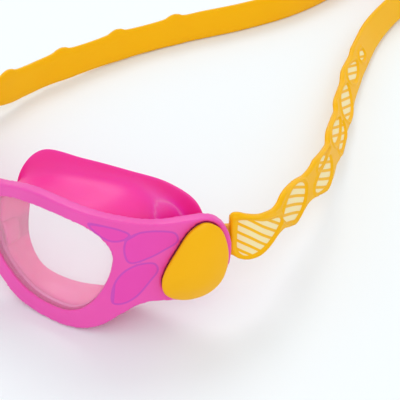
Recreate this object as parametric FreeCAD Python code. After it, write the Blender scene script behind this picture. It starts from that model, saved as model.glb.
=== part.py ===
import FreeCAD, Part

import math
import os

# Swim goggles lying on a table: a one-piece wrap-around frame with clear lenses, soft eye
# gaskets and a push button on each temple, and a moulded strap closed by a rear clasp.
# Millimetres. The eyepiece is drawn upright, nose at x = 0, front facing -Y, then leans back
# by REST_TILT as it lies on the table, and everything is moved so that the origin is the
# middle of the footprint on the table (z = 0).
V = FreeCAD.Vector

# --- plan of the wrap-around front (outer surface) ---
NOSE_Y = -2.6            # front of the nose bridge
NOSE_RUN = 31.0          # half width of the nearly flat front
NOSE_ANGLE = 6.0         # its turn from the nose to NOSE_RUN, degrees
WRAP_RADIUS = 35.0       # bend beside the eye
WRAP_ANGLE = 52.0        # final turn of the straight temples, degrees
TEMPLE_RUN = 26.0        # straight length available behind the bend

# --- frame ---
FRAME_WALL = 3.6
FRAME_HEIGHT = 41.0
REST_TILT = 6.5          # lean back of the eyepiece on the table, degrees
FOOT_FLAT = 0.25         # height cut off the lowest edge for the two feet
FRAME_POINTS = 240       # points round the frame outline
OUTLINE_POINTS = 96      # points round every smaller outline
# half outline of the frame, (distance along the wall, share of the height)
FRAME_OUTLINE = [(8.5, 0.140), (16.0, 0.016), (24.5, -0.028), (33.5, -0.026), (41.0, 0.004),
                 (47.0, 0.078), (52.5, 0.190), (58.5, 0.268), (65.5, 0.268), (72.8, 0.284),
                 (78.8, 0.372), (82.0, 0.515), (82.5, 0.660), (81.2, 0.805), (77.4, 0.908),
                 (70.0, 0.924), (62.0, 0.910), (53.0, 0.932), (43.0, 0.962), (32.0, 0.988),
                 (21.0, 0.985), (10.0, 0.928)]
NOSE_ARCH = 0.330        # underside of the bridge at x = 0, share of the height
NOSE_TOP = 0.892         # top of the bridge at x = 0, share of the height
# eye opening, (distance along the wall, share of the height)
EYE_OUTLINE = [(6.6, 0.520), (8.6, 0.345), (14.2, 0.205), (21.0, 0.122), (29.0, 0.100),
               (36.5, 0.130), (42.0, 0.225), (46.2, 0.390), (48.4, 0.560), (48.3, 0.680),
               (45.2, 0.790), (38.5, 0.868), (28.0, 0.886), (17.0, 0.868), (8.6, 0.785)]

# --- lens and its carrier ring ---
LIP = 1.0                # frame material in front of the lens
LENS_THICK = 1.6
SEAT_WIDTH = 1.7         # width of the frame's seat round the opening
FIT = 0.05               # clearance of the seated pieces, all round
RING_INSET = 0.3         # how far the ring's opening stays outside the eye opening

# --- gasket ---
GASKET_WALL = 1.8
GASKET_STEP = 0.2        # skirt inside the edge of the lens seat
GASKET_WAIST = 7.0       # depth of the straight skirt behind the lens
GASKET_REACH = 13.6      # depth of the face edge at the nose side, at its top
GASKET_TURN = 22.0       # turn of the face edge in plan, degrees
GASKET_NOD = 8.5         # how far the face edge's lower side comes forward, degrees
# face edge, (across, share of the height), measured in its own plane from the nose end
FACE_OUTLINE = [(0.0, 0.60), (1.0, 0.35), (7.0, 0.13), (18.0, 0.06), (30.0, 0.07), (41.0, 0.14),
                (51.0, 0.30), (57.5, 0.52), (58.8, 0.72), (55.0, 0.90), (46.0, 1.00), (34.0, 1.03),
                (20.0, 1.05), (7.0, 1.05), (1.2, 0.88)]
FACE_START = 4.6         # x of the face edge at the nose

# --- temple button ---
BUTTON_S = 72.2          # middle of the button along the wall
BUTTON_Z = 25.0
# outline round its middle: rounded egg, tall side to the rear
BUTTON_OUTLINE = [(-9.1, -5.3), (-8.0, -9.9), (-3.0, -12.0), (3.0, -10.8), (6.9, -7.0),
                  (8.4, -0.6), (7.6, 5.6), (5.2, 10.6), (1.9, 12.0), (-1.9, 9.7), (-5.5, 3.5)]
BUTTON_PROUD = 3.0       # height of the crown above the frame
BUTTON_SUNK = 0.8        # depth of its skirt inside the pocket
BUTTON_ROUND = 2.3
BUTTON_GAP = 0.15        # gap to the pocket wall
BUTTON_TRAVEL = 1.2
POCKET_DEPTH = 2.2
STEM_S = -3.4            # stem beside the middle, clear of the strap post
STEM_R = 1.5
STEM_FIT = 0.06
STEM_END = 1.1           # stem past the frame's inner face
STEM_ROOM = 0.4          # pressed stem to the cover
GROOVE_R = 1.05          # stem inside its clip
CLIP_R = 2.4
CLIP_THICK = 0.6
CLIP_GAP = 0.05
SPRING_WIRE = 0.4
SPRING_R = 2.3           # to the middle of the wire
SPRING_TURNS = 3.5
SPRING_SECTIONS = 63
WIRE_SIDES = 8           # the wire is drawn as an eight-sided bar
SPRING_WELL = 2.0        # depth of the spring well in the button
SPRING_PLAY = 0.3        # well wall to the outside of the coil

# --- strap clip, its post and the cover behind the temple ---
POST_S = 75.4
POST_Z = 28.8
POST_R = 1.6
POST_PLAY = 0.6          # loose fit that lets the strap tilt
CLIP_PLATE = 1.2
PLATE_DEPTH = 5.0        # middle of the plate behind the frame's outer surface
PLATE_EYE_R = 3.6
PLATE_HALF = 3.6         # half height of the plate's tail
PLATE_END = 88.0
COVER_GAP = STEM_END + BUTTON_TRAVEL + STEM_ROOM   # frame's inner face to the cover plate
COVER_DROP = 0.6         # cover's middle below the post
COVER_THICK = 0.8
COVER_WALL = 1.0
COVER_FRONT = 65.4
COVER_REAR = 78.6
COVER_HALF = 7.0
MOUTH_HALF = 5.2

# --- strap (positions on the table, before the last move) ---
STRAP_THICK = 2.2
STRAP_HALF = 6.0         # half height of the plain strap
NECK_HALF = 6.4          # half height beside the temple
NECK_SHARE = 0.25        # share of the strap over which the neck narrows
STRAP_START = 83.0       # strap's front end along the wall
STRAP_SECTIONS = 64
END_CROWDING = 0.7       # how much closer the sections stand at the clasp
CORNER = 7.5             # radius of the strap's two rear corners
REAR_Y = 262.0           # strap's middle plane through the clasp
REAR_Z = 7.5             # half height of the clasp, so that it rests on the table
LEFT_ROUTE = [(70.3, 46.5, 24.2), (69.6, 55.5, 22.6), (66.4, 68.5, 20.6), (60.8, 93.5, 15.4),
              (46.4, 126.0, 10.2), (30.6, 158.5, 7.8), (21.0, 182.0, 6.6), (14.0, 202.5, 6.2),
              (9.9, 225.0, 6.2), (9.3, 240.0, 6.5), (10.2, REAR_Y - CORNER, REAR_Z)]
RIGHT_ROUTE = [(-70.8, 47.0, 21.6), (-70.0, 57.0, 15.4), (-69.0, 68.0, 10.2), (-69.6, 80.0, 8.4),
               (-69.4, 92.0, 7.7), (-67.0, 106.0, 7.2), (-61.5, 130.5, 6.5), (-51.8, 156.0, 6.2),
               (-38.6, 181.5, 6.2), (-29.7, 204.7, 6.2), (-26.2, 224.0, 6.2), (-25.4, 240.0, 6.5),
               (-25.8, REAR_Y - CORNER, REAR_Z)]
# lean of the strap's top edge outwards, degrees, at even steps from temple to clasp
LEFT_LEAN = [0.0, 2.0, 4.0, 6.0, 8.0, 6.0, 2.0, 0.0]
RIGHT_LEAN = [0.0, 4.0, 8.0, 10.0, 8.0, 5.0, 2.0, 0.0]

# --- rear clasp ---
CLASP_X = -7.8           # middle of the clasp
CLASP_LENGTH = 17.0
CLASP_HALF = REAR_Z
CLASP_WALL = 1.3
CLASP_OVERLAP = 4.6      # strap end inside the clasp
CLASP_FIT = 0.15
CLASP_ROUND = 1.4
TONGUE_THICK = 1.1
TONGUE_HALF = 4.0
TONGUE_TIP = -2.8        # tip beside the clasp's middle
TONGUE_ROOT = 3.0        # tongue inside the strap's end
LEVER_THICK = 1.4
LEVER_LENGTH = 12.4      # from its pin
LEVER_HALF = 5.4
LEVER_GAP = 0.25         # lever to the clasp's outer face
TOOTH_X = 0.6            # catch tooth beside the clasp's middle
TOOTH_WIDE = 1.3
TOOTH_HALF = 2.4
TOOTH_PLAY = 0.3
TOOTH_SWING = 1.7        # room for the tooth as the lever opens
PIN_X = -6.2             # lever pin beside the clasp's middle
PIN_R = 0.7
PIN_FIT = 0.05
KNUCKLE_R = 1.5
KNUCKLE_HALF = 3.6
EAR_WIDE = 1.8
SIDE_PLAY = 0.2

REACH = 60.0             # long enough to pass every piece

CLASP_FACE = STRAP_THICK / 2 + CLASP_FIT + CLASP_WALL
PIN_Y = CLASP_FACE + KNUCKLE_R + SIDE_PLAY
TOOTH_LOW = TOOTH_X - TOOTH_WIDE / 2
TOOTH_HIGH = TOOTH_X + TOOTH_WIDE / 2


# --- the wrap-around wall as coordinates: s along it, z up, d behind its outer surface ---
NOSE_RADIUS = NOSE_RUN / math.sin(math.radians(NOSE_ANGLE))
NOSE_LENGTH = NOSE_RADIUS * math.radians(NOSE_ANGLE)
BEND_LENGTH = WRAP_RADIUS * math.radians(WRAP_ANGLE - NOSE_ANGLE)
TEMPLE_S = NOSE_LENGTH + BEND_LENGTH
WALL_END = TEMPLE_S + TEMPLE_RUN


def plan(s, d=0.0):
    """Point and heading of the wall at distance s from the nose, d behind its outer surface."""
    side = math.copysign(1.0, s)
    run = abs(s)
    bend_x = NOSE_RADIUS * math.sin(math.radians(NOSE_ANGLE))
    bend_y = NOSE_Y + NOSE_RADIUS * (1 - math.cos(math.radians(NOSE_ANGLE)))
    if run < NOSE_LENGTH:
        turn = run / NOSE_RADIUS
        x = NOSE_RADIUS * math.sin(turn)
        y = NOSE_Y + NOSE_RADIUS * (1 - math.cos(turn))
    else:
        first = math.radians(NOSE_ANGLE)
        turn = first + min(run - NOSE_LENGTH, BEND_LENGTH) / WRAP_RADIUS
        straight = max(run - TEMPLE_S, 0.0)
        x = bend_x + WRAP_RADIUS * (math.sin(turn) - math.sin(first)) + straight * math.cos(turn)
        y = bend_y + WRAP_RADIUS * (math.cos(first) - math.cos(turn)) + straight * math.sin(turn)
    return side * (x - d * math.sin(turn)), y + d * math.cos(turn), side * turn


def on_wall(s, z, d):
    x, y, _ = plan(s, d)
    return V(x, y, z)


def wall_wire(d):
    """The plan curve at depth d, from the left temple's end to the right one's."""
    stops = [-WALL_END, -TEMPLE_S, -NOSE_LENGTH, NOSE_LENGTH, TEMPLE_S, WALL_END]
    edges = []
    for start, end in zip(stops[:-1], stops[1:]):
        a, b = on_wall(start, -REACH, d), on_wall(end, -REACH, d)
        if abs(start) + abs(end) > TEMPLE_S + NOSE_LENGTH + BEND_LENGTH:
            edges.append(Part.LineSegment(a, b).toShape())
        else:
            edges.append(Part.Arc(a, on_wall((start + end) / 2, -REACH, d), b).toShape())
    return edges


def wall_between(d0, d1):
    """The whole wall as a tall solid between two depths."""
    outer, inner = wall_wire(d0), wall_wire(d1)
    ends = [Part.LineSegment(on_wall(s, -REACH, d0), on_wall(s, -REACH, d1)).toShape()
            for s in (-WALL_END, WALL_END)]
    wire = Part.Wire(Part.__sortEdges__(outer + inner + ends))
    return Part.Face(wire).extrude(V(0, 0, 2 * REACH))


def smooth(points, count=OUTLINE_POINTS):
    """Evenly spread points on the smooth closed curve through a few points."""
    curve = Part.BSplineCurve()
    curve.interpolate([V(a, b, 0) for a, b in points], PeriodicFlag=True)
    length = curve.length()
    marks = [curve.parameterAtDistance(length * i / count, curve.FirstParameter) for i in range(count)]
    return [(curve.value(m).x, curve.value(m).y) for m in marks]


def grown(dense, amount):
    """A dense closed outline moved outwards by an amount."""
    area = sum(a[0] * b[1] - b[0] * a[1] for a, b in zip(dense, dense[1:] + dense[:1]))
    sign = math.copysign(1.0, area)
    result = []
    for before, here, after in zip(dense[-1:] + dense[:-1], dense, dense[1:] + dense[:1]):
        dx, dy = after[0] - before[0], after[1] - before[1]
        size = math.hypot(dx, dy)
        result.append((here[0] + sign * amount * dy / size, here[1] - sign * amount * dx / size))
    return result


def closed_curve(points):
    curve = Part.BSplineCurve()
    curve.interpolate(points, PeriodicFlag=True, Parameters=[float(i) for i in range(len(points) + 1)])
    return curve.toShape()


def slab(dense, d0, d1):
    """The part of the wall inside an outline in (s, z), between two depths."""
    past = 1.0
    front = closed_curve([on_wall(s, z, d0 - past) for s, z in dense])
    back = closed_curve([on_wall(s, z, d1 + past) for s, z in dense])
    tube = Part.makeRuledSurface(front, back)
    pieces, _ = wall_between(d0, d1).generalFuse([tube])
    return min(pieces.Solids, key=lambda piece: piece.BoundBox.ZLength)


def mirrored(shape):
    return shape.mirror(V(0, 0, 0), V(1, 0, 0))


# --- eyepiece: outlines ---
def frame_outline():
    right = [(s, share * FRAME_HEIGHT) for s, share in FRAME_OUTLINE]
    left = [(-s, z) for s, z in reversed(right)]
    arch = [(0.0, NOSE_ARCH * FRAME_HEIGHT)]
    top = [(0.0, NOSE_TOP * FRAME_HEIGHT)]
    return smooth(arch + right + top + left, FRAME_POINTS)


def eye_outline(side, growth=0.0):
    """The eye opening of one side, moved outwards by growth."""
    dense = grown(smooth([(s, share * FRAME_HEIGHT) for s, share in EYE_OUTLINE]), growth)
    return [(side * s, z) for s, z in dense]


def temple_placement(s, z):
    """Local frame on the straight temple: X along it, Y up, Z out of the wall."""
    x, y, turn = plan(s)
    along = V(math.cos(turn), math.sin(turn), 0)
    out = V(math.sin(turn), -math.cos(turn), 0)
    up = V(0, 0, 1)
    matrix = FreeCAD.Matrix(along.x, up.x, out.x, x, along.y, up.y, out.y, y,
                            along.z, up.z, out.z, z, 0, 0, 0, 1)
    return FreeCAD.Placement(matrix)


def button_plate(growth, low, high):
    """The button's outline as a plate in the temple's local frame."""
    dense = grown(smooth(BUTTON_OUTLINE), growth)
    face = Part.Face(Part.Wire(closed_curve([V(a, b, low) for a, b in dense])))
    return face.extrude(V(0, 0, high - low))


def placed(shape, s, z):
    moved = shape.copy()
    moved.Placement = temple_placement(s, z).multiply(moved.Placement)
    return moved


def stem_hole():
    hole = Part.makeCylinder(STEM_R + STEM_FIT, REACH, V(STEM_S, 0, -REACH))
    return placed(hole, BUTTON_S, BUTTON_Z)


# --- eyepiece: pieces ---
def make_frame():
    frame = slab(frame_outline(), 0, FRAME_WALL)
    for side in (1, -1):
        frame = frame.cut(slab(eye_outline(side), -1, FRAME_WALL + 1))
        frame = frame.cut(slab(eye_outline(side, SEAT_WIDTH), LIP, FRAME_WALL + 1))
    pocket = placed(button_plate(BUTTON_GAP, -POCKET_DEPTH, REACH / 2), BUTTON_S, BUTTON_Z)
    post = placed(Part.makeCylinder(POST_R, COVER_GAP, V(0, 0, -FRAME_WALL - COVER_GAP)), POST_S, POST_Z)
    for cut in (pocket, stem_hole()):
        frame = frame.cut(cut).cut(mirrored(cut))
    return frame.fuse(post).fuse(mirrored(post))


def make_lens(side):
    return slab(eye_outline(side, SEAT_WIDTH - FIT), LIP, LIP + LENS_THICK)


def make_lens_ring(side):
    front = LIP + LENS_THICK
    ring = slab(eye_outline(side, SEAT_WIDTH - FIT), front, FRAME_WALL)
    return ring.cut(slab(eye_outline(side, RING_INSET), front - 1, FRAME_WALL + 1))


def gasket_body(side, inset):
    """Solid through the front, waist and face sections of the skirt, drawn in by inset."""
    slope = math.tan(math.radians(GASKET_TURN / 2))
    nod = math.tan(math.radians(GASKET_NOD))
    turn = math.radians(GASKET_TURN)
    eye = eye_outline(1, SEAT_WIDTH - GASKET_STEP - inset)
    front, waist = [], []
    for s, z in eye:
        x = plan(s)[0]
        front.append(V(side * x, NOSE_Y - GASKET_WALL + x * slope / 2, z))
        waist.append(V(side * x, NOSE_Y + GASKET_WAIST + x * slope - (FRAME_HEIGHT - z) * nod / 2, z))
    face = grown(smooth([(a, share * FRAME_HEIGHT) for a, share in FACE_OUTLINE]), -inset)
    edge = [V(side * (FACE_START + a * math.cos(turn)),
              NOSE_Y + GASKET_REACH + a * math.sin(turn) - (FRAME_HEIGHT - z) * nod, z) for a, z in face]
    return Part.makeLoft([Part.Wire(closed_curve(ring)) for ring in (front, waist, edge)], True, False)


def make_gasket(side):
    skirt = gasket_body(side, 0.0).cut(gasket_body(side, GASKET_WALL))
    return skirt.cut(wall_between(-REACH / 2, FRAME_WALL))


# --- temple mechanism ---
def make_button():
    body = button_plate(0.0, -BUTTON_SUNK, BUTTON_PROUD)
    top = [e for e in body.Edges if e.BoundBox.ZMin > BUTTON_PROUD - FIT]
    body = body.makeFillet(BUTTON_ROUND, top)
    well = Part.makeCylinder(SPRING_R + SPRING_WIRE / 2 + SPRING_PLAY, SPRING_WELL, V(STEM_S, 0, -BUTTON_SUNK))
    stem = Part.makeCylinder(STEM_R, FRAME_WALL + STEM_END + BUTTON_PROUD / 2,
                             V(STEM_S, 0, -FRAME_WALL - STEM_END))
    groove = clip_ring(STEM_R)
    return placed(body.cut(well).fuse(stem).cut(groove), BUTTON_S, BUTTON_Z)


def clip_ring(outer):
    """The ring behind the frame wall that the stem's groove takes."""
    low = -FRAME_WALL - CLIP_GAP - CLIP_THICK
    ring = Part.makeCylinder(outer, CLIP_THICK, V(STEM_S, 0, low))
    return ring.cut(Part.makeCylinder(GROOVE_R, CLIP_THICK, V(STEM_S, 0, low)))


def make_button_clip():
    return placed(clip_ring(CLIP_R), BUTTON_S, BUTTON_Z)


def make_spring():
    """Coil between the pocket floor and the bottom of the button's well."""
    low = -POCKET_DEPTH + SPRING_WIRE / 2
    high = -BUTTON_SUNK + SPRING_WELL - SPRING_WIRE / 2
    height = high - low
    corners = []
    for i in range(WIRE_SIDES + 1):
        a = 2 * math.pi * i / WIRE_SIDES
        corners.append(V(SPRING_R + SPRING_WIRE / 2 * math.cos(a), 0, SPRING_WIRE / 2 * math.sin(a)))
    sections = []
    for i in range(SPRING_SECTIONS + 1):
        share = i / SPRING_SECTIONS
        ring = Part.makePolygon(corners)
        turn = FreeCAD.Rotation(V(0, 0, 1), 360 * SPRING_TURNS * share)
        ring.Placement = FreeCAD.Placement(V(0, 0, height * share), turn)
        sections.append(ring)
    coil = Part.makeLoft(sections, True, True)
    coil.translate(V(STEM_S, 0, low))
    return placed(coil, BUTTON_S, BUTTON_Z)


def tail_plate(half, thick, end):
    """Plate of the strap clip behind the temple, from its eye to the given end."""
    length = end - POST_S
    plate = Part.makeBox(length, 2 * half, thick, V(0, -half, -PLATE_DEPTH - thick / 2))
    return plate


def make_strap_clip():
    low = -PLATE_DEPTH - CLIP_PLATE / 2
    eye = Part.makeCylinder(PLATE_EYE_R, CLIP_PLATE, V(0, 0, low))
    hole = Part.makeCylinder(POST_R + POST_PLAY, CLIP_PLATE, V(0, 0, low))
    return placed(eye.fuse(tail_plate(PLATE_HALF, CLIP_PLATE, PLATE_END)).cut(hole), POST_S, POST_Z)


def make_cover():
    """Thin box behind the temple with a mouth to the rear for the clip."""
    length = COVER_REAR - COVER_FRONT
    depth = COVER_GAP + COVER_THICK
    box = Part.makeBox(length, 2 * COVER_HALF, depth, V(0, -COVER_HALF, -FRAME_WALL - depth))
    corners = [e for e in box.Edges if abs(e.BoundBox.ZLength - depth) < FIT]
    box = box.makeFillet(2 * COVER_WALL, corners)
    inner = Part.makeBox(length - 2 * COVER_WALL, 2 * (COVER_HALF - COVER_WALL), COVER_GAP,
                         V(COVER_WALL, -COVER_HALF + COVER_WALL, -FRAME_WALL - COVER_GAP))
    mouth = Part.makeBox(length, 2 * MOUTH_HALF, COVER_GAP, V(length / 2, -MOUTH_HALF, -FRAME_WALL - COVER_GAP))
    return placed(box.cut(inner).cut(mouth), COVER_FRONT, POST_Z - COVER_DROP)


# --- strap ---
def strap_curve(route, side):
    """Centreline from the temple to the clasp."""
    start = on_wall(STRAP_START, POST_Z, PLATE_DEPTH)
    tail = on_wall(PLATE_END, POST_Z, PLATE_DEPTH)
    points = [REST.multVec(V(side * p.x, p.y, p.z)) for p in (start, tail)]
    points += [V(*p) for p in route]
    last = points[-1]
    inner = -side
    for degrees in (30, 60, 90):
        a = math.radians(degrees)
        points.append(V(last.x + inner * CORNER * (1 - math.cos(a)),
                        last.y + (REAR_Y - last.y) * math.sin(a), last.z))
    for inside in (0.0, CLASP_OVERLAP / 2, CLASP_OVERLAP):
        points.append(V(CLASP_X + side * (CLASP_LENGTH / 2 - inside), REAR_Y, last.z))
    curve = Part.BSplineCurve()
    curve.interpolate(points)
    return curve


def strap_solid(route, leans, side):
    curve = strap_curve(route, side)
    length = curve.length()
    sections = []
    for i in range(STRAP_SECTIONS + 1):
        even = i / STRAP_SECTIONS
        share = even * (1 + END_CROWDING - END_CROWDING * even)
        mark = curve.parameterAtDistance(length * share, curve.FirstParameter)
        point, tangent = curve.value(mark), curve.tangent(mark)[0]
        flat = V(tangent.x, tangent.y, 0).normalize()
        out = V(flat.y, -flat.x, 0).multiply(side)
        place = share * (len(leans) - 1)
        step = min(int(place), len(leans) - 2)
        lean = math.radians(leans[step] + (leans[step + 1] - leans[step]) * (place - step))
        up = V(0, 0, math.cos(lean)) + out * math.sin(lean)
        across = out * math.cos(lean) - V(0, 0, math.sin(lean))
        half = NECK_HALF + (STRAP_HALF - NECK_HALF) * min(1.0, share / NECK_SHARE)
        u, w = up * half, across * (STRAP_THICK / 2)
        corners = [point + u + w, point - u + w, point - u - w, point + u - w]
        sections.append(Part.makePolygon(corners + corners[:1]))
    return Part.makeLoft(sections, True, False)


def make_strap(side, route, leans):
    strap = strap_solid(route, leans, side)
    slot = placed(tail_plate(PLATE_HALF, CLIP_PLATE, PLATE_END), POST_S, POST_Z)
    return strap.cut(at_rest(slot if side > 0 else mirrored(slot)))


# --- rear clasp: x from its middle, y from the strap's middle plane, z from its half height ---
def rear_box(x0, x1, y0, y1, half):
    return Part.makeBox(x1 - x0, y1 - y0, 2 * half, V(CLASP_X + x0, REAR_Y + y0, REAR_Z - half))


def rear_pin(radius, low, high):
    return Part.makeCylinder(radius, high - low, V(CLASP_X + PIN_X, REAR_Y + PIN_Y, REAR_Z + low))


def tooth_window(y0, y1):
    return rear_box(TOOTH_LOW - TOOTH_PLAY, TOOTH_HIGH + TOOTH_SWING, y0, y1, TOOTH_HALF + TOOTH_PLAY)


def make_clasp_body():
    half = CLASP_LENGTH / 2
    body = rear_box(-half, half, -CLASP_FACE, CLASP_FACE, CLASP_HALF)
    upright = [e for e in body.Edges if abs(e.BoundBox.ZLength - 2 * CLASP_HALF) < FIT]
    body = body.makeFillet(CLASP_ROUND, upright)
    for side in (-1, 1):
        low = KNUCKLE_HALF + SIDE_PLAY
        high = low + EAR_WIDE
        ear = rear_pin(KNUCKLE_R, *sorted((side * low, side * high)))
        foot = rear_box(PIN_X - KNUCKLE_R, PIN_X + KNUCKLE_R, CLASP_FACE - CLASP_WALL / 2, PIN_Y, high)
        inner = rear_box(PIN_X - KNUCKLE_R, PIN_X + KNUCKLE_R, CLASP_FACE - CLASP_WALL, PIN_Y, low)
        body = body.fuse(ear).fuse(foot.cut(inner))
    depth = CLASP_OVERLAP + CLASP_FIT
    thick = STRAP_THICK / 2 + CLASP_FIT
    body = body.cut(rear_box(half - depth, half, -thick, thick, STRAP_HALF + CLASP_FIT))
    body = body.cut(rear_box(-half, depth - half, -thick, thick, STRAP_HALF + CLASP_FIT))
    way = TONGUE_THICK / 2 + CLASP_FIT
    body = body.cut(rear_box(TONGUE_TIP - CLASP_FIT, half - depth, -way, way, TONGUE_HALF + CLASP_FIT))
    body = body.cut(tooth_window(0, CLASP_FACE))
    body = body.cut(rear_pin(PIN_R, -CLASP_HALF, CLASP_HALF))
    return body.removeSplitter()


def tongue_blank():
    half = TONGUE_THICK / 2
    root = CLASP_LENGTH / 2 - CLASP_OVERLAP + TONGUE_ROOT
    return rear_box(TONGUE_TIP, root, -half, half, TONGUE_HALF)


def make_clasp_tongue():
    return tongue_blank().cut(tooth_window(-TONGUE_THICK / 2, TONGUE_THICK / 2))


def make_clasp_lever():
    low = CLASP_FACE + LEVER_GAP
    arm = rear_box(PIN_X, PIN_X + LEVER_LENGTH, low, low + LEVER_THICK, KNUCKLE_HALF)
    start = PIN_X + KNUCKLE_R + SIDE_PLAY
    arm = arm.fuse(rear_box(start, PIN_X + LEVER_LENGTH, low, low + LEVER_THICK, LEVER_HALF))
    arm = arm.fuse(rear_pin(KNUCKLE_R, -KNUCKLE_HALF, KNUCKLE_HALF))
    arm = arm.fuse(rear_box(TOOTH_LOW, TOOTH_HIGH, -TONGUE_THICK / 2, low, TOOTH_HALF))
    return arm.cut(rear_pin(PIN_R + PIN_FIT, -KNUCKLE_HALF, KNUCKLE_HALF)).removeSplitter()


def make_clasp_pin():
    end = KNUCKLE_HALF + SIDE_PLAY + EAR_WIDE
    return rear_pin(PIN_R, -end, end)


# --- the whole pair of goggles ---
frame = make_frame()
lean_back = FreeCAD.Rotation(V(1, 0, 0), -REST_TILT)
leaned = frame.copy()
leaned.Placement = FreeCAD.Placement(V(0, 0, 0), lean_back)
lowest = leaned.optimalBoundingBox(False, False).ZMin
REST = FreeCAD.Placement(V(0, 0, -lowest - FOOT_FLAT), lean_back)


def at_rest(shape):
    """The upright eyepiece's piece, leaned back on the table."""
    moved = shape.copy()
    moved.Placement = REST.multiply(moved.Placement)
    return moved


under_table = Part.makeBox(4 * REACH, 4 * REACH, REACH, V(-2 * REACH, -2 * REACH, -REACH))
parts = {"frame": at_rest(frame).cut(under_table)}
for name, make in (("lens", make_lens), ("lens_ring", make_lens_ring), ("gasket", make_gasket)):
    parts[name + "_left"] = at_rest(make(1))
    parts[name + "_right"] = at_rest(make(-1))
for name, make in (("temple_button", make_button), ("button_clip", make_button_clip),
                   ("button_spring", make_spring), ("strap_clip", make_strap_clip),
                   ("temple_cover", make_cover)):
    piece = make()
    parts[name + "_left"] = at_rest(piece)
    parts[name + "_right"] = at_rest(mirrored(piece))
parts["strap_left"] = make_strap(1, LEFT_ROUTE, LEFT_LEAN).cut(tongue_blank())
parts["strap_right"] = make_strap(-1, RIGHT_ROUTE, RIGHT_LEAN)
parts["clasp_body"] = make_clasp_body()
parts["clasp_tongue"] = make_clasp_tongue()
parts["clasp_lever"] = make_clasp_lever()
parts["clasp_pin"] = make_clasp_pin()

# the origin is the middle of the footprint
footprint = Part.makeCompound(list(parts.values())).optimalBoundingBox(False, False)
origin = V(footprint.Center.x, footprint.Center.y, 0)
os.makedirs("parts", exist_ok=True)
for name, shape in parts.items():
    shape.translate(-origin)
    shape.exportStep("parts/" + name + ".step")
pivot = REST.multVec(on_wall(POST_S, POST_Z, PLATE_DEPTH)) - origin
press = lean_back.multVec(temple_placement(BUTTON_S, BUTTON_Z).Rotation.multVec(V(0, 0, -1)))
lever = V(CLASP_X + PIN_X, REAR_Y + PIN_Y, REAR_Z) - origin
print("origin was at", origin, "strap pivot", pivot, "left press", press, "lever pin", lever)
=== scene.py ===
import math

import bmesh
import bpy
import numpy as np
from mathutils import Matrix, Vector


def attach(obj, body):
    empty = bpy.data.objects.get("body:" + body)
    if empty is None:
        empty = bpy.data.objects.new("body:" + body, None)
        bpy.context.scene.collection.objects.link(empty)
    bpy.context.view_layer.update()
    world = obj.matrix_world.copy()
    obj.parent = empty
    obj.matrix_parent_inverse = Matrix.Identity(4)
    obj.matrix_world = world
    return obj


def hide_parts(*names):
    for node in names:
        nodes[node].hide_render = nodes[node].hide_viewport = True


# Swim goggles lying on a table. Millimetres in the tables below; MM brings them to metres.
MM = 0.001
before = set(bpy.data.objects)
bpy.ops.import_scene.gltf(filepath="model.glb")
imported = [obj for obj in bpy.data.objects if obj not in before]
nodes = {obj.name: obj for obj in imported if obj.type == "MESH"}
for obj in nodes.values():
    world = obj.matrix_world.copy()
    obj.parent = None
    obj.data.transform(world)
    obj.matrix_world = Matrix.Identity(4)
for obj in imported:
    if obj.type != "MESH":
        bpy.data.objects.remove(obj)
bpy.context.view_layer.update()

# --- the wrap-around wall: s along it, z up, d behind its outer surface ---
NOSE_Y = -2.6
NOSE_RUN = 31.0
NOSE_ANGLE = math.radians(6.0)
WRAP_RADIUS = 35.0
WRAP_ANGLE = math.radians(52.0)
FRAME_HEIGHT = 41.0
FRAME_WALL = 3.6
REST_TILT = math.radians(6.5)
REST_LIFT = 1.3118
ROW_SHIFT = Vector((0.304, -132.8282, 0.0))

NOSE_RADIUS = NOSE_RUN / math.sin(NOSE_ANGLE)
NOSE_LENGTH = NOSE_RADIUS * NOSE_ANGLE
BEND_LENGTH = WRAP_RADIUS * (WRAP_ANGLE - NOSE_ANGLE)
TEMPLE_S = NOSE_LENGTH + BEND_LENGTH
BEND_X = NOSE_RUN
BEND_Y = NOSE_Y + NOSE_RADIUS * (1 - math.cos(NOSE_ANGLE))
TEMPLE_X = BEND_X + WRAP_RADIUS * (math.sin(WRAP_ANGLE) - math.sin(NOSE_ANGLE))
TEMPLE_Y = BEND_Y + WRAP_RADIUS * (math.cos(NOSE_ANGLE) - math.cos(WRAP_ANGLE))


def plan(s, d=0.0):
    """The wall's point at distance s from the nose and d behind its outer face, seen from above."""
    side, run = math.copysign(1.0, s), abs(s)
    if run < NOSE_LENGTH:
        turn = run / NOSE_RADIUS
        x, y = NOSE_RADIUS * math.sin(turn), NOSE_Y + NOSE_RADIUS * (1 - math.cos(turn))
    elif run < TEMPLE_S:
        turn = NOSE_ANGLE + (run - NOSE_LENGTH) / WRAP_RADIUS
        x = BEND_X + WRAP_RADIUS * (math.sin(turn) - math.sin(NOSE_ANGLE))
        y = BEND_Y + WRAP_RADIUS * (math.cos(NOSE_ANGLE) - math.cos(turn))
    else:
        turn = WRAP_ANGLE
        x = TEMPLE_X + (run - TEMPLE_S) * math.cos(turn)
        y = TEMPLE_Y + (run - TEMPLE_S) * math.sin(turn)
    return side * (x - d * math.sin(turn)), y + d * math.cos(turn)


def rested(x, y, z):
    """A point of the upright eyepiece, leaned back on the table, in metres in the row frame."""
    c, s = math.cos(REST_TILT), math.sin(REST_TILT)
    return (Vector((x, c * y + s * z, c * z - s * y + REST_LIFT)) + ROW_SHIFT) * MM


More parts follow.
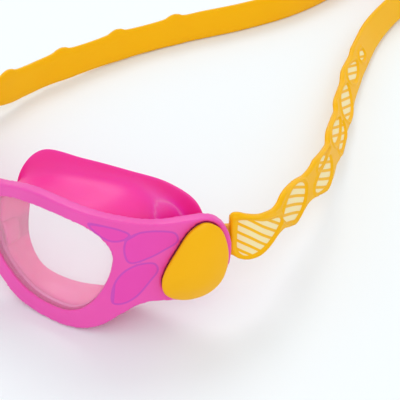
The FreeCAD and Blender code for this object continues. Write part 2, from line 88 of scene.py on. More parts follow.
def wall_coordinates(points):
    """(s, z, d) of points in the row frame, for the print on the temples."""
    p = np.asarray(points) / MM - np.array(ROW_SHIFT)
    c, sn = math.cos(REST_TILT), math.sin(REST_TILT)
    up = p[:, 2] - REST_LIFT
    x, y, z = np.abs(p[:, 0]), c * p[:, 1] - sn * up, sn * p[:, 1] + c * up
    centre_x = BEND_X - WRAP_RADIUS * math.sin(NOSE_ANGLE)
    centre_y = BEND_Y + WRAP_RADIUS * math.cos(NOSE_ANGLE)
    turn = np.clip(np.arctan2(x - centre_x, centre_y - y), NOSE_ANGLE, WRAP_ANGLE)
    straight = (x - TEMPLE_X) * math.cos(WRAP_ANGLE) + (y - TEMPLE_Y) * math.sin(WRAP_ANGLE)
    s = NOSE_LENGTH + WRAP_RADIUS * (turn - NOSE_ANGLE) + np.maximum(straight, 0) * (turn >= WRAP_ANGLE)
    bend_depth = WRAP_RADIUS - np.hypot(x - centre_x, y - centre_y)
    flat_depth = (y - TEMPLE_Y) * math.cos(WRAP_ANGLE) - (x - TEMPLE_X) * math.sin(WRAP_ANGLE)
    depth = np.where((turn >= WRAP_ANGLE) & (straight > 0), flat_depth, bend_depth)
    return np.where(x < NOSE_RUN, x, s), z, depth


# --- curves through a few points ---
SPAN_STEPS = 24          # steps between two given points


def smooth_line(points, count, closed=False):
    """Evenly spread points on the smooth curve through a few points of any dimension."""
    p = np.array(points, float)
    p = np.vstack([p[-2:], p, p[:3]]) if closed else np.vstack([2 * p[0] - p[1], p, 2 * p[-1] - p[-2]])
    dense = []
    spans = len(p) - 4 if closed else len(p) - 3
    first = 1 if closed else 0
    for k in range(first, first + spans):
        a, b, c, d = p[k:k + 4]
        knots = np.cumsum([0] + [max(np.linalg.norm(v - u), 1e-6) ** 0.5 for u, v in ((a, b), (b, c), (c, d))])
        t = np.linspace(knots[1], knots[2], SPAN_STEPS, endpoint=False)[:, None]
        k0, k1, k2, k3 = knots
        ab = a + (b - a) * (t - k0) / (k1 - k0)
        bc = b + (c - b) * (t - k1) / (k2 - k1)
        cd = c + (d - c) * (t - k2) / (k3 - k2)
        abc = ab + (bc - ab) * (t - k0) / (k2 - k0)
        bcd = bc + (cd - bc) * (t - k1) / (k3 - k1)
        dense.append(abc + (bcd - abc) * (t - k1) / (k2 - k1))
    dense = np.vstack(dense + [dense[0][:1] if closed else p[-2:-1]])
    along = np.r_[0, np.cumsum(np.linalg.norm(np.diff(dense, axis=0), axis=1))]
    marks = np.linspace(0, along[-1], count, endpoint=not closed)
    return np.stack([np.interp(marks, along, dense[:, k]) for k in range(dense.shape[1])], 1)


def grown(outline, amount):
    """A closed outline moved outwards by an amount."""
    ahead, behind = np.roll(outline, -1, 0), np.roll(outline, 1, 0)
    area = np.sum(outline[:, 0] * ahead[:, 1] - ahead[:, 0] * outline[:, 1])
    run = (ahead - behind) * np.sign(area)
    run /= np.linalg.norm(run, axis=1)[:, None]
    return outline + amount * np.stack([run[:, 1], -run[:, 0]], 1)


def inside_distance(points, outline):
    """Distance of points to a closed outline, positive inside it."""
    a, b = outline, np.roll(outline, -1, 0)
    best = np.full(len(points), 1e9)
    crossings = np.zeros(len(points), int)
    for p, q in zip(a, b):
        run = q - p
        share = np.clip(((points - p) @ run) / (run @ run), 0, 1)[:, None]
        best = np.minimum(best, np.linalg.norm(points - p - share * run, axis=1))
        spans = (p[1] > points[:, 1]) != (q[1] > points[:, 1])
        cut = p[0] + (points[:, 1] - p[1]) / (run[1] if run[1] else 1e-9) * run[0]
        crossings += spans & (points[:, 0] < cut)
    return np.where(crossings % 2 == 1, best, -best)


# --- making and fitting pieces ---
MEET = 1e-7              # metres within which crossings of a skin are one
MOULD_PASSES = 4         # smoothing passes of a small moulding


def finished(name, mesh, material, body, slot, *replaced):
    """A piece from its mesh, riding on a body and standing for CAD nodes."""
    piece = bpy.data.objects.new(name, mesh)
    bpy.context.scene.collection.objects.link(piece)
    mesh.materials.clear()
    mesh.materials.append(material)
    mesh.polygons.foreach_set("use_smooth", [True] * len(mesh.polygons))
    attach(piece, body)
    if replaced:
        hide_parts(*replaced)
    return piece


def skinned(name, columns, rows, place, caps=False, notes=()):
    """A mesh from a grid whose crossing (i, j) goes to place(i, j); meeting seams and poles are closed."""
    bm = bmesh.new()
    bmesh.ops.create_grid(bm, x_segments=columns, y_segments=rows, size=1.0)
    layers = [(bm.verts.layers.float.new(key), values) for key, values in dict(notes).items()]
    for v in bm.verts:
        i = round((v.co.x + 1) / 2 * columns)
        j = round((v.co.y + 1) / 2 * rows)
        v.co = place(i, j)
        for layer, values in layers:
            v[layer] = values[i][j % values.shape[1]]
    bmesh.ops.remove_doubles(bm, verts=bm.verts, dist=MEET)
    if caps:
        bmesh.ops.holes_fill(bm, edges=[e for e in bm.edges if e.is_boundary], sides=0)
    bmesh.ops.recalc_face_normals(bm, faces=bm.faces)
    mesh = bpy.data.meshes.new(name)
    bm.to_mesh(mesh)
    bm.free()
    return mesh


def moulded(name, node, voxel, passes=MOULD_PASSES):
    """The mesh of a CAD node with the soft edges that a moulding has; voxel is the even mesh's grid in mm."""
    blank = bpy.data.objects.new(name + "_blank", nodes[node].data.copy())
    bpy.context.scene.collection.objects.link(blank)
    remesh = blank.modifiers.new("even", "REMESH")
    remesh.mode = "VOXEL"
    remesh.voxel_size = voxel * MM
    soften = blank.modifiers.new("soften", "SMOOTH")
    soften.factor = 0.5
    soften.iterations = passes
    ready = blank.evaluated_get(bpy.context.evaluated_depsgraph_get())
    mesh = bpy.data.meshes.new_from_object(ready)
    mesh.name = name
    bpy.data.objects.remove(blank)
    return mesh


def rounded(piece):
    """One level of subdivision over a piece."""
    modifier = piece.modifiers.new("round", "SUBSURF")
    modifier.levels = modifier.render_levels = 1


def note(mesh, name, values):
    """Writes one number per vertex under a name, for a material to read."""
    mesh.attributes.new(name, "FLOAT", "POINT").data.foreach_set("value", np.asarray(values, np.float32))


# --- materials ---
DRIFT_SCALE = 60.0       # noise scales, per metre: drift of colour and drift of gloss
GLOSS_SCALE = 900.0
SKIN_HEIGHT = 0.0001     # height of the moulded skin, in metres
PRINT_EDGE = 0.06        # softness of a stripe's edge, as a share of the pitch


class Amount:
    """A number out of a node; arithmetic on it adds the Math nodes."""

    def __init__(self, finish, socket):
        self.finish, self.socket = finish, socket

    def math(self, operation, *others):
        node = self.finish.node("ShaderNodeMath", {"operation": operation}, self, *others)
        return Amount(self.finish, node.outputs[0])

    def __add__(self, other):
        return self.math("ADD", other)

    def __mul__(self, other):
        return self.math("MULTIPLY", other)

    def __sub__(self, other):
        return self.math("SUBTRACT", other)

    def __rsub__(self, other):
        return (self * -1.0) + other

    __radd__, __rmul__ = __add__, __mul__

    def above(self, edge, soft):
        """0 below the edge, 1 above it, with a ramp of the width soft."""
        return ((self - edge) * (1.0 / soft) + 0.5).math("MINIMUM", 1.0).math("MAXIMUM", 0.0)


class Finish:
    """A material built from one Principled shader."""

    def __init__(self, name, color, **sockets):
        self.material = bpy.data.materials.new(name)
        self.material.use_nodes = True
        self.tree = self.material.node_tree
        self.shader = self.tree.nodes["Principled BSDF"]
        self.color = color
        self.shader.inputs["Base Color"].default_value = color + (1.0,)
        for socket, value in sockets.items():
            self.shader.inputs[socket.replace("_", " ")].default_value = value
        self.place = self.node("ShaderNodeTexCoord").outputs["Object"]

    def put(self, value, socket):
        """Links or writes a value into a socket."""
        if isinstance(value, Amount):
            value = value.socket
        if isinstance(value, bpy.types.NodeSocket):
            self.tree.links.new(value, socket)
        else:
            socket.default_value = value

    def node(self, kind, settings=(), *values, **named):
        """A node of a kind, with its settings, and the values or links of its sockets."""
        made = self.tree.nodes.new(kind)
        for setting, value in dict(settings).items():
            setattr(made, setting, value)
        for key, value in list(enumerate(values)) + [(k.replace("_", " "), v) for k, v in named.items()]:
            self.put(value, made.inputs[key])
        return made

    def feed(self, socket, value):
        """Leads a value to a socket of the shader."""
        self.put(value, self.shader.inputs[socket])

    def noise(self, scale, detail=3.0, rough=0.5):
        made = self.node("ShaderNodeTexNoise", (), Vector=self.place, Scale=scale, Detail=detail, Roughness=rough)
        return Amount(self, made.outputs["Fac"])

    def written(self, name):
        return Amount(self, self.node("ShaderNodeAttribute", {"attribute_name": name}).outputs["Fac"])

    def blend(self, amount, first, second):
        """A colour between two, by an amount; a colour is a tuple or a link."""
        made = self.node("ShaderNodeMix", {"data_type": "RGBA", "blend_type": "MIX"})
        for index, value in ((0, amount), (6, first), (7, second)):
            self.put(value + (1.0,) if isinstance(value, tuple) else value, made.inputs[index])
        return made.outputs[2]

    def grain(self, tone, rough, spread, bump, scale):
        """Slow drift of colour, finer drift of gloss and a fine moulded skin."""
        drift = self.noise(DRIFT_SCALE)
        ground = self.blend(drift.above(0.5, 0.9), self.color, tone)
        self.feed("Roughness", (self.noise(GLOSS_SCALE) - 0.5) * spread + rough)
        skin = self.noise(scale, 2.0)
        raised = self.node("ShaderNodeBump", (), Strength=bump, Distance=SKIN_HEIGHT, Height=skin)
        self.feed("Normal", raised.outputs["Normal"])
        return ground


def plastic(name, color, tone, rough, bump=0.12, scale=5000.0, **sockets):
    """A plain moulded plastic that drifts between two colours."""
    made = Finish(name, color, **sockets)
    made.feed("Base Color", made.grain(tone, rough, 0.08, bump, scale))
    return made.material


PINK = (0.90, 0.10, 0.47)
PINK_DEEP = (0.80, 0.062, 0.40)
HOT_PINK = (0.95, 0.028, 0.40)
YELLOW = (0.95, 0.50, 0.0)
YELLOW_DEEP = (0.92, 0.46, 0.0)
CREAM = (0.92, 0.78, 0.42)
INK = (0.48, 0.055, 0.50)
PETAL_PINK = (0.80, 0.035, 0.44)
HOT_PINK_DEEP = (0.85, 0.018, 0.28)
RING_PINK = (0.80, 0.08, 0.42)
RING_PINK_DEEP = (0.76, 0.07, 0.40)
BUTTON_YELLOW = (0.93, 0.47, 0.0)
BUTTON_YELLOW_DEEP = (0.91, 0.45, 0.0)
CLIP_YELLOW = (0.88, 0.45, 0.01)
CLIP_YELLOW_DEEP = (0.84, 0.42, 0.01)
GLASS = (0.97, 0.97, 0.98)
STEEL = (0.62, 0.62, 0.62)
PETAL_FILL = 0.55        # strength of a petal's colour
INK_FILL = 0.62          # strength of its line
INK_REACH = 0.30         # how far the line reaches to either side, in mm
STRIPE_FROM = 0.16       # where a stripe starts and ends within its pitch
STRIPE_TO = 0.80
GLASS_ALPHA = 0.15


def frame_pink():
    made = Finish("frame_pink", PINK, Coat_Weight=0.05, Coat_Roughness=0.25, Specular_IOR_Level=0.35,
                  Subsurface_Weight=0.12, Subsurface_Scale=0.003, Subsurface_Radius=(1.0, 0.25, 0.5))
    ground = made.grain(PINK_DEEP, 0.36, 0.06, 0.10, 6000.0)
    petal = made.written("petal")
    filled = made.blend(petal.above(0.0, 0.3) * PETAL_FILL, ground, PETAL_PINK)
    line = petal.math("ABSOLUTE").above(INK_REACH, 0.16) * -1.0 + 1.0
    made.feed("Base Color", made.blend(line * INK_FILL, filled, INK))
    return made.material


def strap_yellow():
    made = Finish("strap_yellow", YELLOW, Specular_IOR_Level=0.14, Subsurface_Weight=0.1,
                  Subsurface_Scale=0.002, Subsurface_Radius=(1.0, 0.5, 0.1))
    ground = made.grain(YELLOW_DEEP, 0.42, 0.08, 0.14, 4500.0)
    stripe = made.written("lay").math("FRACT")
    band = stripe.above(STRIPE_FROM, PRINT_EDGE) * (1.0 - stripe.above(STRIPE_TO, PRINT_EDGE))
    printed = band * made.written("field").above(0.5, 0.25)
    made.feed("Base Color", made.blend(printed, ground, CREAM))
    return made.material


def clear_lens():
    made = Finish("lens_clear", GLASS, Roughness=0.08, IOR=1.45, Specular_IOR_Level=0.2)
    made.feed("Alpha", (made.noise(120.0) - 0.5) * 0.03 + GLASS_ALPHA)
    return made.material


def steel():
    made = Finish("spring_steel", STEEL, Metallic=1.0)
    made.feed("Roughness", made.noise(2500.0) * 0.15 + 0.22)
    return made.material


pink = frame_pink()
yellow = strap_yellow()
lens = clear_lens()
wire = steel()
hot = plastic("gasket_pink", HOT_PINK, HOT_PINK_DEEP, 0.40, Subsurface_Weight=0.25, Subsurface_Scale=0.003,
              Subsurface_Radius=(1.0, 0.15, 0.4))
ring_pink = plastic("ring_pink", RING_PINK, RING_PINK_DEEP, 0.4)
cover_pink = plastic("cover_pink", PINK, PINK_DEEP, 0.38)
button_yellow = plastic("button_yellow", BUTTON_YELLOW, BUTTON_YELLOW_DEEP, 0.36, Specular_IOR_Level=0.18)
clip_yellow = plastic("clip_yellow", CLIP_YELLOW, CLIP_YELLOW_DEEP, 0.42)
clasp_pink = plastic("clasp_pink", PINK, PINK_DEEP, 0.32, Coat_Weight=0.2, Coat_Roughness=0.2)

# --- frame: moulded shell with three printed petals on each temple ---
PETALS = [[(41.8, 36.6), (46.4, 36.6), (51.2, 35.6), (53.2, 34.4), (51.9, 32.8), (48.4, 32.0), (44.6, 33.6)],
          [(52.5, 32.7), (55.9, 35.0), (61.4, 35.2), (66.0, 34.0), (66.7, 31.5), (63.1, 28.9), (59.0, 26.7),
           (53.5, 25.2), (52.0, 28.4)],
          [(49.1, 11.1), (49.5, 17.8), (52.2, 22.2), (56.3, 24.6), (60.5, 24.5), (61.5, 22.3), (59.3, 18.5),
           (55.3, 13.2), (51.6, 11.0)]]
PETAL_POINTS = 80
PRINT_DEPTH = 0.5        # the print stays on the outer face
NO_PRINT = -5.0          # noted where there is none
FRAME_VOXEL = 0.42
FRAME_PASSES = 9
shell = moulded("frame_shell", "frame", FRAME_VOXEL, FRAME_PASSES)
shell_points = np.empty(len(shell.vertices) * 3)
shell.vertices.foreach_get("co", shell_points)
wall_s, wall_z, wall_d = wall_coordinates(shell_points.reshape(-1, 3))
in_petals = [inside_distance(np.stack([wall_s, wall_z], 1), smooth_line(p, PETAL_POINTS, True)) for p in PETALS]
note(shell, "petal", np.where(wall_d < PRINT_DEPTH, np.max(in_petals, 0), NO_PRINT))
finished("frame_shell", shell, pink, "eyepiece", "frame_plastic", "frame")

# --- gaskets: skirt behind the lens, flaring to a rolled face edge ---
EYE_OUTLINE = [(6.6, 0.520), (8.6, 0.345), (14.2, 0.205), (21.0, 0.122), (29.0, 0.100),
               (36.5, 0.130), (42.0, 0.225), (46.2, 0.390), (48.4, 0.560), (48.3, 0.680),
               (45.2, 0.790), (38.5, 0.868), (28.0, 0.886), (17.0, 0.868), (8.6, 0.785)]
FACE_OUTLINE = [(0.0, 0.60), (1.0, 0.35), (7.0, 0.13), (18.0, 0.06), (30.0, 0.07), (41.0, 0.14),
                (51.0, 0.30), (57.5, 0.52), (58.8, 0.72), (55.0, 0.90), (46.0, 1.00), (34.0, 1.03),
                (20.0, 1.05), (7.0, 1.05), (1.2, 0.88)]
SEAT = 1.5               # how far the skirt reaches past the eye opening
WAIST_DEPTH = 7.0        # from the nose point back to the waist
FACE_DEPTH = 13.6        # and back to the face edge
FACE_START = 4.6         # the face edge's distance from the middle
FACE_TURN = math.radians(22.0)
FACE_NOD = math.tan(math.radians(8.5))
GASKET_POINTS = 160
# (share of the way from the seat 0 over the waist 1 to the face edge 2, flare, inset) round the skin
SKIN = [(0.0, 0.0, 0.0), (0.35, 0.0, 0.0), (0.7, 0.0, 0.0), (1.0, 0.0, 0.0), (1.25, 0.03, 0.0), (1.45, 0.08, 0.0),
        (1.62, 0.18, 0.0), (1.75, 0.34, 0.0), (1.85, 0.56, 0.0), (1.92, 0.80, 0.0), (1.96, 0.97, -0.1),
        (2.0, 1.03, 0.0), (2.02, 1.0, 0.5), (2.0, 0.92, 0.9), (1.92, 0.74, 1.0), (1.78, 0.48, 1.2),
        (1.6, 0.28, 1.4), (1.4, 0.16, 1.6), (1.2, 0.08, 1.8), (1.0, 0.0, 1.8), (0.7, 0.0, 1.8), (0.35, 0.0, 1.8),
        (0.0, 0.0, 1.8)]
NOSE_PAD = 6.0           # extra thickness inside, beside the nose
NOSE_PAD_START = 6.0     # where it starts to fade along the wall
NOSE_PAD_RUN = 26.0      # the run over which it fades out
INNER_FROM = 0.95        # insets above this lie on the inner side


def gasket_mesh(name, side):
    """The skirt of one eye; side is 1 on the left, -1 on the right."""
    eye = smooth_line([(a, b * FRAME_HEIGHT) for a, b in EYE_OUTLINE], GASKET_POINTS, True)
    face = smooth_line([(a, b * FRAME_HEIGHT) for a, b in FACE_OUTLINE], GASKET_POINTS, True)
    slope = math.tan(FACE_TURN / 2)
    rings = []
    for share, flare, inset in SKIN:
        ring = []
        inner = 1.0 if inset > INNER_FROM else 0.0
        fade = np.clip(1 - (eye[:, :1] - NOSE_PAD_START) / NOSE_PAD_RUN, 0, 1)
        pad = NOSE_PAD * inner * min(1.0, share) * fade
        for (s, z), (a, h) in zip(grown(eye, SEAT - inset), grown(face, -inset) + pad * (1.0, 0.0)):
            y = plan(s, FRAME_WALL)[1]
            x0 = plan(s)[0]
            waist_y = NOSE_Y + WAIST_DEPTH + x0 * slope - (FRAME_HEIGHT - z) * FACE_NOD / 2
            face_x = FACE_START + a * math.cos(FACE_TURN)
            face_y = NOSE_Y + FACE_DEPTH + a * math.sin(FACE_TURN) - (FRAME_HEIGHT - h) * FACE_NOD
            if share <= 1.0:
                spot = Vector((x0, y + (waist_y - y) * share, z))
            else:
                back = share - 1.0
                spot = Vector((x0 + (face_x - x0) * flare, waist_y + (face_y - waist_y) * back, z + (h - z) * flare))
            ring.append(rested(side * spot.x, spot.y, spot.z))
        rings.append(ring)
    rounds = len(rings)
    return skinned(name, GASKET_POINTS, rounds, lambda i, j: rings[j % rounds][i % GASKET_POINTS])


for side, hand in ((1, "left"), (-1, "right")):
    skin = gasket_mesh("gasket_" + hand + "_skin", side)
    skirt = finished("gasket_" + hand + "_skin", skin, hot, "eyepiece", "gasket_silicone", "gasket_" + hand)
    rounded(skirt)

# --- temple buttons: domed caps ---
BUTTON_S = 72.2          # middle of the button along the wall
BUTTON_Z = 25.0
BUTTON_OUTLINE = [(-9.1, -5.3), (-8.0, -9.9), (-3.0, -12.0), (3.0, -10.8), (6.9, -7.0),
                  (8.4, -0.6), (7.6, 5.6), (5.2, 10.6), (1.9, 12.0), (-1.9, 9.7), (-5.5, 3.5)]
# (outgrowth of the outline, share of the way to the middle, height over the frame)
DOME = [(0, 1.0, -0.15), (0, 0.5, -0.15), (0, 0.02, -0.15), (0, 0.0, -0.1), (0, 0.0, 0.4), (0, 0.0, 1.2),
        (0.35, 0.0, 1.34), (0.62, 0.0, 1.55), (0.68, 0.0, 1.85), (0.55, 0.01, 2.25), (0.3, 0.06, 2.7), (0.1, 0.14, 3.1),
        (0, 0.24, 3.55), (0, 0.38, 4.05), (0, 0.55, 4.45), (0, 0.78, 4.75), (0, 1.0, 4.85)]
BUTTON_POINTS = 120


def button_mesh(name, side):
    """The cap of one temple button."""
    outline = smooth_line(BUTTON_OUTLINE, BUTTON_POINTS, True)
    middle = outline.mean(0)
    rings = []
    for growth, share, height in DOME:
        ring = []
        wide = grown(outline, growth)
        for a, b in wide + (middle - wide) * share:
            x, y = plan(BUTTON_S + a, -height)
            ring.append(rested(side * x, y, BUTTON_Z + b))
        rings.append(ring)
    return skinned(name, BUTTON_POINTS, len(rings) - 1, lambda i, j: rings[j][i % BUTTON_POINTS])


for side, hand in ((1, "left"), (-1, "right")):
    cap = finished("button_cap_" + hand, button_mesh("button_cap_" + hand, side), button_yellow,
                   hand + "_button", "button_plastic", "temple_button_" + hand)
    rounded(cap)

# --- straps: moulded petals with striped print on the outer face ---
REAR_Y = 262.0
REAR_Z = 7.5
CORNER = 7.5
CLASP_X = -7.8
CLASP_LENGTH = 17.0
CLASP_OVERLAP = 4.6
STRAP_START = 83.0       # along the wall, where the strap begins
PLATE_END = 88.0         # and where it leaves the temple
PLATE_DEPTH = 5.0        # behind the wall's outer face
POST_Z = 28.8
LEFT_ROUTE = [(70.3, 46.5, 24.2), (69.6, 55.5, 22.6), (66.4, 68.5, 20.6), (60.8, 93.5, 15.4),
              (46.4, 126.0, 10.2), (30.6, 158.5, 7.8), (21.0, 182.0, 6.6), (14.0, 202.5, 6.2),
              (9.9, 225.0, 6.2), (9.3, 240.0, 6.5), (10.2, REAR_Y - CORNER, REAR_Z)]
RIGHT_ROUTE = [(-70.8, 47.0, 21.6), (-70.0, 57.0, 15.4), (-69.0, 68.0, 10.2), (-69.6, 80.0, 8.4),
               (-69.4, 92.0, 7.7), (-67.0, 106.0, 7.2), (-61.5, 130.5, 6.5), (-51.8, 156.0, 6.2),
               (-38.6, 181.5, 6.2), (-29.7, 204.7, 6.2), (-26.2, 224.0, 6.2), (-25.4, 240.0, 6.5),
               (-25.8, REAR_Y - CORNER, REAR_Z)]
LEFT_LEAN = [0.0, -6.0, -18.0, -28.0, -30.0, -28.0, -14.0, 0.0]
RIGHT_LEAN = [0.0, 4.0, 8.0, 10.0, 8.0, 5.0, 2.0, 0.0]
# (distance from the temple, top edge, bottom edge)
EDGES = [(0, 6.6, -6.6), (0.8, 7.5, -7.0), (2.5, 7.6, -8.2), (5.0, 6.8, -9.0), (8.0, 6.2, -8.6), (13, 5.6, -6.6),
         (17.5, 5.0, -5.2), (20.5, 5.6, -4.7), (23, 6.8, -5.0), (26, 7.2, -6.2), (31, 6.8, -7.9), (36.5, 6.2, -7.4),
         (43, 5.2, -5.2), (50, 5.9, -5.5), (53, 6.7, -6.2), (58, 6.5, -6.9), (66, 5.6, -6.3), (73, 4.9, -5.0),
         (76, 6.0, -5.2), (79, 6.6, -5.7), (86, 6.2, -6.1), (96, 5.3, -5.4), (101, 5.0, -5.1), (104, 6.2, -5.4),
         (108, 6.4, -5.6), (114, 5.9, -5.8), (124, 5.2, -5.4), (128, 5.9, -5.5), (132, 6.3, -5.6),
         (140, 5.7, -5.7), (148, 5.3, -5.5), (153, 6.0, -5.7), (158, 5.9, -5.8), (300, 5.9, -5.9)]
# one bump of the right strap's top edge, and where the bumps are
BUMP = [(-4.2, 5.9, -5.9), (-2.4, 6.6, -6.0), (0.0, 7.1, -6.0), (2.4, 6.7, -6.0), (4.2, 5.9, -5.9)]
BUMP_PLACES = (21.0, 44.0, 71.0, 98.0, 125.0)
RIGHT_EDGES = [(0, 6.6, -6.4), (4.0, 7.0, -7.2), (10.0, 6.0, -6.6)]
for bump in BUMP_PLACES:
    RIGHT_EDGES += [(bump + at, rise, fall) for at, rise, fall in BUMP]
RIGHT_EDGES += [(140, 5.9, -5.9), (300, 5.9, -5.9)]
FIELDS = [[(1.9, 5.8), (1.6, 0.0), (1.9, -5.4), (4.0, -7.8), (7.0, -7.7), (12.0, -5.5), (18.6, -2.2), (20.8, -0.4),
           (19.6, 1.4), (12.0, 3.8), (5.0, 5.8)],
          [(21.6, 0.0), (24.6, 3.8), (30.6, 5.6), (38.6, 5.0), (41.6, 2.6), (40.6, -1.6), (36.0, -5.6), (31.0, -6.6),
           (27.0, -5.6), (23.6, -3.0)],
          [(48.2, -2.2), (52.6, 0.8), (61.6, 2.0), (68.6, 1.8), (67.6, -1.5), (61.6, -5.0), (53.6, -5.4), (49.2, -4.2)],
          [(52.6, 3.4), (56.6, 5.4), (64.6, 5.0), (71.6, 3.8), (64.6, 3.5), (57.0, 2.6)],
          [(77.6, 3.6), (82.6, 5.2), (92.6, 4.4), (98.6, 2.4), (93.6, 0.0), (85.6, -0.4), (78.6, 1.0)],
          [(81.6, -2.8), (90.6, -1.8), (100.6, 0.2), (98.6, -3.2), (91.6, -4.8), (83.6, -4.8)],
          [(104.6, 0.4), (109.6, 3.8), (118.6, 4.2), (126.6, 2.2), (122.6, -2.0), (115.6, -4.4), (106.6, -3.4)],
          [(130.6, 2.0), (134.6, 4.4), (142.6, 3.8), (148.6, 1.4), (144.6, -1.4), (135.6, -1.8)],
          [(153.1, 0.0), (156.0, 2.0), (160.6, 1.2), (160.6, -1.2), (156.0, -2.0)]]
ROUTE_POINTS = 900       # to measure the route
EDGE_POINTS = 1200
STRAP_STEP = 0.55        # between two sections
OUTER = 30               # steps over the outer face
INNER = 8                # and over the inner face
THICK = 1.1              # half thickness
ON_FACE = 0.9            # thickness share from which a corner lies on a face
EDGE_FROM = 0.93         # height share at which an edge begins to round off
EDGE_RUN = 0.07
EDGE_THIN = 0.35         # what the edge loses in thickness and in height
EDGE_LOW = 0.3
RIM_RISE = 0.45          # raised rim round a field
RIM_PLACE = 0.75         # outside the field's outline
FIELD_DEPTH = 0.30       # how far a field is sunk, the steepness of its wall and where the wall starts
FIELD_RAMP = 2.5
FIELD_LEAD = 0.6
FIELD_POINTS = 64
STRIPE_SLOPE = 0.42
FRONT_SLOPE = 0.28       # added over the first field
FRONT_FIELD = 21.0
STRIPE_PITCH = 3.1
LAY_START = 40           # keeps the stripes' count above nought


def strap_frames(route, leans, side):
    """Points, up and outward directions along the strap's middle, evenly spaced."""
    points = []
    for s in (STRAP_START, PLATE_END):
        x, y = plan(s, PLATE_DEPTH)
        points.append(tuple(rested(side * x, y, POST_Z) / MM - ROW_SHIFT))
    points += route
    last = Vector(route[-1])
    for degrees in (30, 60, 90):
        a = math.radians(degrees)
        points.append((last.x - side * CORNER * (1 - math.cos(a)), last.y + (REAR_Y - last.y) * math.sin(a), last.z))
    for inside in (0.0, CLASP_OVERLAP / 2, CLASP_OVERLAP):
        points.append((CLASP_X + side * (CLASP_LENGTH / 2 - inside), REAR_Y, last.z))
    rough = smooth_line(points, ROUTE_POINTS)
    length = np.linalg.norm(np.diff(rough, axis=0), axis=1).sum()
    count = int(length / STRAP_STEP)
    line = smooth_line(points, count + 1)
    frames = []
    for k, point in enumerate(line):
        run = Vector(line[min(k + 2, count)]) - Vector(line[max(k - 2, 0)])
        out = Vector((run.y, -run.x, 0)).normalized() * side
        lean = math.radians(np.interp(k / count, np.linspace(0, 1, len(leans)), leans))
        up = Vector((0, 0, math.cos(lean))) + out * math.sin(lean)
        across = out * math.cos(lean) - Vector((0, 0, math.sin(lean)))
        frames.append((Vector(point) + ROW_SHIFT, up, across))
    return frames, length / count


def strap_mesh(name, route, leans, edges, side):
    """The band of one strap half, with its raised rims, sunk fields and the lay of its stripes."""
    frames, step = strap_frames(route, leans, side)
    dense = smooth_line(edges, EDGE_POINTS)
    # section corners as (height share, thickness share), the outer face first
    section = [(1 - 2 * k / OUTER, 1.0) for k in range(OUTER + 1)]
    section += [(-1.0, 0.55), (-1.0, -0.55)] + [(-1 + 2 * k / INNER, -1.0) for k in range(INNER + 1)]
    section += [(1.0, -0.55), (1.0, 0.55)]
    around = len(section)
    heights = np.empty((len(frames), around))
    for k in range(len(frames)):
        top, bottom = (np.interp(k * step, dense[:, 0], dense[:, c]) for c in (1, 2))
        heights[k] = [(top + bottom) / 2 + share * (top - bottom) / 2 for share, _ in section]
    spots = np.stack([np.repeat(np.arange(len(frames)) * step, around), heights.ravel()], 1)
    field = np.max([inside_distance(spots, smooth_line(f, FIELD_POINTS, True)) for f in FIELDS], 0)
    rim = np.clip(1 - np.abs(field + RIM_PLACE), 0, 1)
    relief = RIM_RISE * rim * rim * (3 - 2 * rim) - FIELD_DEPTH * np.clip(field * FIELD_RAMP + FIELD_LEAD, 0, 1)
    relief = relief.reshape(len(frames), around)
    field = field.reshape(len(frames), around)

    def place(k, j):
        point, up, across = frames[k]
        j %= around
        share, depth = section[j]
        thick, height = THICK * depth, heights[k][j]
        if depth > ON_FACE:
            thick += relief[k][j]
        if abs(depth) > ON_FACE:
            edge = 1 - max(0.0, abs(share) - EDGE_FROM) / EDGE_RUN
            thick -= math.copysign(EDGE_THIN, depth) * (1 - edge)
            height -= math.copysign(EDGE_LOW, share) * (1 - edge)
        return (point + up * height + across * thick) * MM

    along = np.arange(len(frames))[:, None] * step
    outer = np.array([depth > ON_FACE for _, depth in section])
    slant = STRIPE_SLOPE * along + FRONT_SLOPE * np.minimum(along, FRONT_FIELD)
    notes = {"field": np.where(outer, field, NO_PRINT), "lay": (heights + slant) / STRIPE_PITCH + LAY_START}
    return skinned(name, len(frames) - 1, around, place, True, notes)


for side, hand, route, leans, edges in ((1, "left", LEFT_ROUTE, LEFT_LEAN, EDGES),
                                        (-1, "right", RIGHT_ROUTE, RIGHT_LEAN, RIGHT_EDGES)):
    band = strap_mesh("strap_" + hand + "_band", route, leans, edges, side)
    finished("strap_" + hand + "_band", band, yellow, "strap_loop", "strap_silicone", "strap_" + hand)

# --- covers and clasp: mouldings with softened edges ---
# (piece, CAD node, voxel in mm, material, body, slot)
for name, node, voxel, material, body, slot in (
        ("temple_cover_left_shell", "temple_cover_left", 0.3, cover_pink, "eyepiece", "frame_plastic"),
        ("temple_cover_right_shell", "temple_cover_right", 0.3, cover_pink, "eyepiece", "frame_plastic"),
        ("clasp_shell", "clasp_body", 0.25, clasp_pink, "strap_loop", "clasp_plastic"),
        ("clasp_flap_shell", "clasp_lever", 0.2, clasp_pink, "clasp_flap", "clasp_plastic")):
    finished(name, moulded(name, node, voxel), material, body, slot, node)

# --- carried-over CAD pieces get their finishes ---
for material, carried in (
        (lens, ("lens_left", "lens_right")),
        (ring_pink, ("lens_ring_left", "lens_ring_right")),
        (clip_yellow, ("button_clip_left", "button_clip_right", "strap_clip_left", "strap_clip_right", "clasp_tongue")),
        (wire, ("button_spring_left", "button_spring_right", "clasp_pin"))):
    for node in carried:
        nodes[node].data.materials.clear()
        nodes[node].data.materials.append(material)

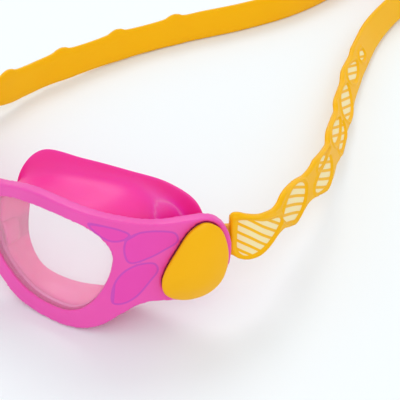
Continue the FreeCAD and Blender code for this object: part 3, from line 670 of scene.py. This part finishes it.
# --- table, light and camera ---
PAPER = (0.885, 0.935, 0.955)
PAPER_DEEP = (0.87, 0.92, 0.94)
TABLE_HALF = 3.0         # metres
paper = Finish("paper_floor", PAPER, Roughness=0.6)
paper.feed("Base Color", paper.blend(paper.noise(6.0), PAPER, PAPER_DEEP))
bm = bmesh.new()
bmesh.ops.create_grid(bm, x_segments=2, y_segments=2, size=TABLE_HALF)
table = bpy.data.meshes.new("table_top")
bm.to_mesh(table)
bm.free()
floor = bpy.data.objects.new("table_top", table)
bpy.context.scene.collection.objects.link(floor)
table.materials.append(paper.material)


def softbox(name, place, aim, size, power):
    """A round soft light at a place, turned to an aim."""
    light = bpy.data.lights.new(name, "AREA")
    light.shape = "DISK"
    light.size = size
    light.energy = power
    lamp = bpy.data.objects.new(name, light)
    lamp.location = place
    lamp.rotation_euler = (Vector(aim) - Vector(place)).to_track_quat("-Z", "Y").to_euler()
    bpy.context.scene.collection.objects.link(lamp)


AIM = (0.0, -0.05, 0.0)
WORLD_COLOR = (0.975, 0.99, 1.0, 1.0)
WORLD_STRENGTH = 0.86
softbox("key", (-1.4, 1.5, 2.6), AIM, 1.6, 21.0)
softbox("fill", (1.6, -1.8, 2.2), AIM, 1.8, 15.0)
world = bpy.data.worlds.new("studio")
world.use_nodes = True
sky = world.node_tree.nodes["Background"]
sky.inputs["Color"].default_value = WORLD_COLOR
sky.inputs["Strength"].default_value = WORLD_STRENGTH
bpy.context.scene.world = world
bpy.context.scene.view_settings.view_transform = "Standard"

AZIMUTH = math.radians(39.374)
ELEVATION = math.radians(36.451)
ROLL = math.radians(-0.773)
VIEWPOINT = (0.20516, -0.27825, 0.20803)
FOCAL_LENGTH = 92.56
SENSOR = 36.0
ahead = Vector((-math.sin(AZIMUTH) * math.cos(ELEVATION), math.cos(AZIMUTH) * math.cos(ELEVATION),
                -math.sin(ELEVATION)))
level = Vector((math.cos(AZIMUTH), math.sin(AZIMUTH), 0.0))
upward = level.cross(ahead)
right = level * math.cos(ROLL) + upward * math.sin(ROLL)
top = upward * math.cos(ROLL) - level * math.sin(ROLL)
camera = bpy.data.cameras.new("camera")
camera.sensor_width = SENSOR
camera.lens = FOCAL_LENGTH
viewer = bpy.data.objects.new("camera", camera)
viewer.matrix_world = Matrix((*zip(right, top, -ahead, VIEWPOINT), (0.0, 0.0, 0.0, 1.0)))
bpy.context.scene.collection.objects.link(viewer)
bpy.context.scene.camera = viewer
